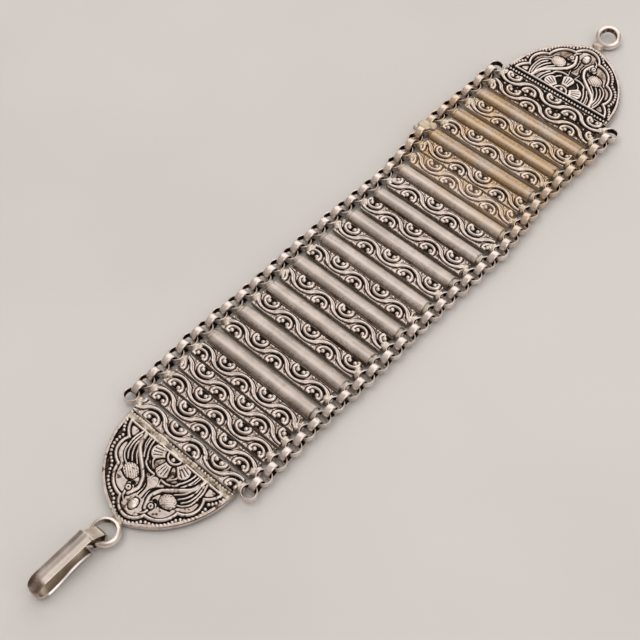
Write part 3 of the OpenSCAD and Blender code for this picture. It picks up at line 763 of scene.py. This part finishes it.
def sweep(shape, outer, normal, thick, half, dip, y, dark_in, bright=0.5, cream=0.0):
    """A strip with a crowned outside, by its outer line in x and z and the ways that face out.

    thick and half are thickness and half width, and dip is how far the crown falls to its edges.
    """
    s = np.sin(np.linspace(-1, 1, 17) * math.pi / 2)
    t = np.array([1, 0.96, 0.89, 0.8, 0.74, 0.4, 0, -0.4, -0.74, -0.8, -0.89, -0.96, -1])
    nip = 0.22 * ease(np.abs(t), 0.78, 1.02) + 0.05 * ease(np.abs(t), 0.9, 1)
    n = len(outer)
    thick, half = np.broadcast_to(thick, n)[:, None], np.broadcast_to(half, n)[:, None]
    drop = np.minimum(dip * (1 - np.sqrt(1 - 0.8 * s**2)) / (1 - math.sqrt(0.2)), thick - 0.32)
    drop = drop + np.where(np.abs(s) > 0.99, 0.06, 0)
    depth = np.concatenate([drop, np.maximum(thick - nip, drop[:, :1])], 1)
    side = half * np.concatenate([s, t])
    p = outer[:, None, :] - normal[:, None, :] * depth[..., None]
    v = np.stack([p[..., 0], y + side, p[..., 1]], -1)
    m = v.shape[1]
    i, j = np.arange(n - 1)[:, None] * m, np.arange(m)[None]
    j2 = np.roll(j, -1, 1)
    faces = np.stack([i + j, i + m + j, i + m + j2, i + j2], -1).reshape(-1, 4)
    outside, lining = np.arange(m) < len(s), np.abs(t) < 0.78
    # Wear on the crest, a painted highlight along the -y side of the outside, and painted highlight
    # lines on the rims
    crest_wear_and_highlight = np.maximum(bright * (1 - s**2), 0.7 * bright * ease(-s, -0.2, 1.0))
    worn = np.concatenate([np.maximum(crest_wear_and_highlight, np.abs(s) > 0.97), ~lining])
    # Outside: tarnish and painted shade, darker towards the +y edge
    dark = np.concatenate([0.2 * ease(s, 0.1, 0.9) * (np.abs(s) < 0.97), dark_in * lining])
    gold = np.concatenate([0 * s, 0.8 * lining])
    grime = 0.1 * noise(v[..., 0], v[..., 1] + v[..., 2], 1.4, 41)
    grime = grime * (np.abs(np.concatenate([s, t])) < 0.79)
    bend = ease(-v[..., 0], 37.0, 42.2) * ease(v[..., 2], 0.4, 4.5) * outside
    bend = bend * (0.38 + 0.08 * noise(v[..., 1], v[..., 2], 1.6, 43))
    ends = [list(range(m)), list(range(n * m - 1, (n - 1) * m - 1, -1))]
    full = lambda row: np.broadcast_to(row, (n, m)).ravel()
    shape.add(
        v, [*faces, *ends], dark=(dark[None] + grime + bend).ravel(),
        worn=full(worn), gold=full(gold), pale=full(cream * outside),
    )


def hook(material):
    """The bent strip with its lip, and the eye that wraps the ring's wall."""
    bend_x, r, arm_thick, lip_thick = -39.7, 3.05, 0.95, 0.6
    rise, fall, reach = math.radians(14), math.radians(24), 10.4
    ratio = (math.cos(rise) - math.cos(fall)) / (1 - math.cos(rise))
    lip_r = reach / (ratio * math.sin(rise) + math.sin(rise) + math.sin(fall))
    rise_r = ratio * lip_r
    # Outer line: the arm on top, the bend, and the lip that rises and falls back to the surface
    arm_x = np.concatenate([[-28.15, -28.2, -28.5, -28.8], np.linspace(-29.2, bend_x, 16)[:-1]])
    arm = np.stack([arm_x, 2 * r - 0.03 * np.clip((-28.8 - arm_x) / 3, 0, 1)], -1)
    a = np.linspace(math.pi / 2, 1.5 * math.pi, 34)
    bend = np.stack([bend_x + r * np.cos(a), r + r * np.sin(a)], -1)
    b = np.linspace(0, rise, 10)[1:]
    low = np.stack([bend_x + rise_r * np.sin(b), rise_r * (1 - np.cos(b))], -1)
    c = np.linspace(rise, -fall, 22)[1:]
    cx, cz = low[-1, 0] + lip_r * math.sin(rise), low[-1, 1] - lip_r * math.cos(rise)
    lip = np.stack([cx - lip_r * np.sin(c), cz + lip_r * np.cos(c)], -1)
    line = np.vstack([arm, bend, low, lip])
    on_lip = np.concatenate([b, c])
    way = np.vstack([
        np.tile([0, 1], (len(arm), 1)),
        np.stack([np.cos(a), np.sin(a)], -1),
        np.stack([np.sin(on_lip), -np.cos(on_lip)], -1),
    ])
    thick = np.concatenate([
        np.full(len(arm), arm_thick),
        arm_thick + (lip_thick - arm_thick) * (1 - np.sin(a)) / 2,
        np.full(len(on_lip), lip_thick),
    ])
    half = np.full(len(line), 1.65)
    half[:4] += [-0.06, 0.05, 0.06, 0.02]
    half[-22:] -= 0.15 * np.linspace(0, 1, 22)
    half[-1] -= 0.12
    thick[-1] -= 0.12
    shape = Shape()
    sweep(shape, line, way, thick, half, dip=0.75, y=-0.65, dark_in=0.1)
    # The eye: two arcs of one radius round the ring's wall, joined to the arm's underside
    near, far, eye_r = (-27.1, 1.8), (-26.4, 1.9), 1.62
    q = np.radians(np.linspace(62, -84, 18))
    u = np.radians(np.linspace(264, 152, 14))
    over = np.stack([far[0] + eye_r * np.cos(q), far[1] + eye_r * np.sin(q)], -1)
    under = np.stack([near[0] + eye_r * np.cos(u), near[1] + eye_r * np.sin(u)], -1)
    ends = np.array([[-28.6, 5.62], [-28.0, 5.42], [-27.2, 4.75], [-26.3, 3.9]])
    back = np.array([[-29.1, 3.3], [-29.6, 4.2], [-29.95, 5.1]])
    loop = spline(np.vstack([ends, over[::2], under[::2], back]), 4)
    along_it = np.gradient(loop, axis=0)
    along_it /= np.linalg.norm(along_it, axis=1)[:, None]
    outward = np.stack([-along_it[:, 1], along_it[:, 0]], -1)
    width = 1.4 + 0.12 * np.exp(-((loop[:, 0] + 27.6) / 0.8) ** 2) * (loop[:, 1] > 4)
    sweep(shape, loop, outward, 0.38, width, dip=0.12, y=-0.85, dark_in=0.3, bright=0.25, cream=0.4)
    shape.turn(Matrix.Translation((-MID_X, -MID_Y, 0)))
    shape.piece("hook_strap", "hook", material, "hook", 50)


class Nodes:
    """Short calls for a material's nodes."""

    def __init__(self, name):
        self.material = bpy.data.materials.new(name)
        self.material.use_nodes = True
        self.tree = self.material.node_tree
        self.shader = self.tree.nodes["Principled BSDF"]
        self.place = self.new("ShaderNodeTexCoord").outputs["Object"]

    def new(self, kind, **values):
        """A node with these properties."""
        n = self.tree.nodes.new(kind)
        for k, v in values.items():
            setattr(n, k, v)
        return n

    def put(self, socket, value):
        """Links an output to a socket, or sets a constant on it."""
        if isinstance(value, bpy.types.NodeSocket):
            self.tree.links.new(value, socket)
        else:
            socket.default_value = value

    def math(self, kind, a, b, clamp=False):
        """A sum or product, held between 0 and 1 where clamp says so."""
        n = self.new("ShaderNodeMath", operation=kind, use_clamp=clamp)
        self.put(n.inputs[0], a)
        self.put(n.inputs[1], b)
        return n.outputs[0]

    def noise(self, scale, detail, stretch=(1, 1, 1)):
        """Noise that moves with the object; a small stretch draws it out along that axis."""
        m = self.new("ShaderNodeMapping")
        self.put(m.inputs["Vector"], self.place)
        m.inputs["Scale"].default_value = stretch
        n = self.new("ShaderNodeTexNoise")
        self.put(n.inputs["Vector"], m.outputs[0])
        n.inputs["Scale"].default_value = scale
        n.inputs["Detail"].default_value = detail
        n.inputs["Roughness"].default_value = 0.55
        return n.outputs["Fac"]

    def ramp(self, value, lo, hi, a=0.0, b=1.0):
        """From a, where value is lo, smoothly to b, where it is hi."""
        n = self.new("ShaderNodeMapRange", interpolation_type="SMOOTHSTEP")
        self.put(n.inputs["Value"], value)
        for name, v in (("From Min", lo), ("From Max", hi), ("To Min", a), ("To Max", b)):
            n.inputs[name].default_value = v
        return n.outputs[0]

    def mix(self, share, a, b):
        """The colour a where share is 0, and b where it is 1."""
        n = self.new("ShaderNodeMix", data_type="RGBA")
        self.put(n.inputs[0], share)
        for socket, colour in ((n.inputs[6], a), (n.inputs[7], b)):
            self.put(socket, (*colour, 1) if isinstance(colour, tuple) else colour)
        return n.outputs[2]

    def look(self, name):
        """One of the values that each point carries."""
        n = self.new("ShaderNodeAttribute", attribute_name=name)
        return n.outputs["Fac"]


# Colours of old silver: rubbed metal, also used for painted highlight, dull pale metal,
# brown walls, tarnish and its black, streaks, specks and stains
RUBBED_AND_HIGHLIGHT, PALE, WALL_BROWN = (1.0, 0.92, 0.87), (0.66, 0.61, 0.50), (0.33, 0.255, 0.17)
TARNISH, BLACK = (0.17, 0.105, 0.07), (0.008, 0.006, 0.005)
STREAK, SPECK, STAIN = (0.23, 0.18, 0.14), (0.2, 0.15, 0.11), (0.23, 0.165, 0.125)
# The golden part of the bracelet: its colour, and where along it, in metres, it fades in and out
GOLDEN, GOLDEN_IN, GOLDEN_OUT = (0.55, 0.365, 0.18), (0.022, 0.036), (0.071, 0.058)
BUMP_DEPTH = 0.00006


def silver(name, light, deep, base_rough, brushed=0.0, brown=0.0, uneven=0.35, streak=0.0,
           grain=(1.0, 0.05, 1.0), speckle=0.14, metal=1.0, matt=0.0):
    """Old silver: bright with wear and painted highlight, brown and black in its hollows."""
    n = Nodes(name)
    cloud = n.noise(260, 4)
    fine = n.noise(1900, 4)
    colour = n.mix(n.ramp(cloud, 0.35, 0.7), deep, light)
    x = n.new("ShaderNodeSeparateXYZ")
    n.put(x.inputs[0], n.place)
    gold = n.math("MULTIPLY", n.ramp(x.outputs[0], *GOLDEN_IN), n.ramp(x.outputs[0], *GOLDEN_OUT))
    gold = n.math("MULTIPLY", gold, n.ramp(n.noise(170, 3), 0.3, 0.62, 0.25, 1.0))
    colour = n.mix(n.math("MULTIPLY", gold, 0.95), colour, GOLDEN)
    lines = n.noise(1500, 3, grain)
    if streak:
        colour = n.mix(n.ramp(lines, 0.45, 0.75, 0.0, streak), colour, STREAK)
        speck = n.math("MULTIPLY", n.ramp(n.noise(1100, 4), 0.55, 0.7), streak)
        colour = n.mix(speck, colour, SPECK)
    stain = n.math("MULTIPLY", n.ramp(n.noise(420, 5), 0.5, 0.75), 0.32 + brown)
    colour = n.mix(stain, colour, STAIN)
    # The rubbed tint also lays on the painted highlights that the points carry
    tints = (("worn", 0.65, RUBBED_AND_HIGHLIGHT), ("pale", 0.8, PALE), ("gold", 0.85, WALL_BROWN))
    for look, share, tint in tints:
        colour = n.mix(n.math("MULTIPLY", n.look(look), share), colour, tint)
    dark = n.math("ADD", n.look("dark"), n.ramp(fine, 0.3, 0.75, -speckle, speckle), clamp=True)
    colour = n.mix(n.ramp(dark, 0.16, 0.48), colour, TARNISH)
    colour = n.mix(n.ramp(dark, 0.35, 0.8), colour, BLACK)
    n.put(n.shader.inputs["Base Color"], colour)
    clean = n.ramp(n.look("pale"), 0.4, 0.8, 1.0, 1 - matt)
    metallic = n.math("MULTIPLY", n.ramp(dark, 0.2, 0.9, metal, 0.4), clean)
    n.put(n.shader.inputs["Metallic"], metallic)
    n.put(n.shader.inputs["Specular IOR Level"], n.ramp(dark, 0.3, 0.8, 0.5, 0.08))
    rough = n.ramp(cloud, 0.3, 0.75, base_rough, base_rough + 0.14)
    rough = n.math("ADD", rough, n.ramp(dark, 0.1, 0.8, 0.0, 0.25))
    if brushed:
        rough = n.math("ADD", rough, n.ramp(lines, 0.3, 0.7, -0.06, 0.08))
        relief = n.math("ADD", n.math("MULTIPLY", lines, brushed), fine)
    else:
        relief = fine
    n.put(n.shader.inputs["Roughness"], rough)
    bump = n.new("ShaderNodeBump")
    bump.inputs["Strength"].default_value = uneven
    bump.inputs["Distance"].default_value = BUMP_DEPTH
    n.put(bump.inputs["Height"], relief)
    n.put(n.shader.inputs["Normal"], bump.outputs[0])
    return n.material


LIGHT, DEEP = (0.80, 0.70, 0.64), (0.60, 0.51, 0.455)
scroll_silver = silver("scroll_silver", LIGHT, DEEP, base_rough=0.28, matt=0.9)
plain_silver = silver(
    "plain_silver", (0.64, 0.56, 0.505), (0.46, 0.395, 0.35), base_rough=0.44,
    brushed=0.6, streak=0.3, speckle=0.08, metal=0.85,
)
panel_silver = silver("panel_silver", LIGHT, DEEP, base_rough=0.3, speckle=0.08)
chain_silver = silver("chain_silver", LIGHT, DEEP, base_rough=0.32)
hook_silver = silver(
    "hook_silver", (0.54, 0.47, 0.40), (0.33, 0.275, 0.23), base_rough=0.3,
    brushed=0.3, brown=-0.2, uneven=0.1, streak=0.25, grain=(0.06, 1.0, 1.0), speckle=0.04,
)

makers = (("scroll", scroll_bar, scroll_silver), ("plain", plain_bar, plain_silver))
for kind, make, material in makers:
    chosen = [i for i in range(1, LAST) if ELEMENTS[i][KIND] == kind]
    for number, i in enumerate(chosen, 1):
        make(i, f"{kind}_bar_{number:02d}", material)
chain(1, "chain_left", chain_silver)
chain(-1, "chain_right", chain_silver)
hook_end_panel(panel_silver)
ring_end_panel(panel_silver)
hook(hook_silver)


def floor():
    """Plain pale paper."""
    n = Nodes("paper")
    tone = n.mix(n.ramp(n.noise(9, 3), 0.3, 0.7), (0.51, 0.49, 0.465), (0.55, 0.53, 0.505))
    n.put(n.shader.inputs["Base Color"], tone)
    n.shader.inputs["Roughness"].default_value = 0.7
    me = bpy.data.meshes.new("floor")
    half = 4.0
    corners = [(-half, -half, 0), (half, -half, 0), (half, half, 0), (-half, half, 0)]
    me.from_pydata(corners, [], [(0, 1, 2, 3)])
    me.materials.append(n.material)
    ob = bpy.data.objects.new("floor", me)
    bpy.context.scene.collection.objects.link(ob)


# Softboxes: name, way towards it, distance and size in metres, watts, and whether metal mirrors it
SOFTBOXES = [
    ("key", (0.74, 0.38, 0.55), 1.2, (1.7, 1.6), 9.1, True),
    ("fill", (-0.4, 0.38, 0.84), 1.2, (1.3, 1.3), 1.3, True),
    ("front", (0.08, -0.57, 0.82), 1.1, (0.9, 1.25), 4.6, True),
    ("wash", (-0.2, 0.2, 1.0), 1.5, (1.0, 1.0), 10, False),
]
SKY, SKY_POWER = (1.0, 0.86, 0.78, 1), 0.33


def softbox(name, towards, distance, size, power, mirrored):
    """A rectangular light that shines on the middle of the bracelet."""
    data = bpy.data.lights.new(name, "AREA")
    data.shape, data.energy = "RECTANGLE", power
    data.size, data.size_y = size
    ob = bpy.data.objects.new(name, data)
    ob.visible_glossy = mirrored
    way = Vector(towards).normalized()
    ob.location = way * distance
    ob.rotation_euler = way.to_track_quat("Z", "Y").to_euler()
    bpy.context.scene.collection.objects.link(ob)


# Camera as solved from the photo: its turn as an axis times an angle, its shift in millimetres
TURN, MOVE = (2.35547, -1.0613, 0.28427), (-26.48471, 25.14487, 266.3736)
LENS = 73.789


def camera():
    """The photo's camera. The solved one looks along its +Z, and this kind looks along its -Z."""
    turn = Vector(TURN)
    seen = Matrix.Rotation(turn.length, 3, turn.normalized()).transposed()
    place = -(seen @ Vector(MOVE)) - Vector((MID_X, MID_Y, -RING_Z))
    facing = seen @ Matrix(((1, 0, 0), (0, -1, 0), (0, 0, -1)))
    data = bpy.data.cameras.new("camera")
    data.sensor_width = 36
    data.lens = LENS
    data.clip_start, data.clip_end = 0.01, 20
    ob = bpy.data.objects.new("camera", data)
    ob.matrix_world = Matrix.Translation(place * MM) @ facing.to_4x4()
    bpy.context.scene.collection.objects.link(ob)
    bpy.context.scene.camera = ob


floor()
camera()
for row in SOFTBOXES:
    softbox(*row)
bpy.context.scene.view_settings.view_transform = "Standard"
world = bpy.data.worlds.new("studio")
world.use_nodes = True
world.node_tree.nodes["Background"].inputs[0].default_value = SKY
world.node_tree.nodes["Background"].inputs[1].default_value = SKY_POWER
bpy.context.scene.world = world
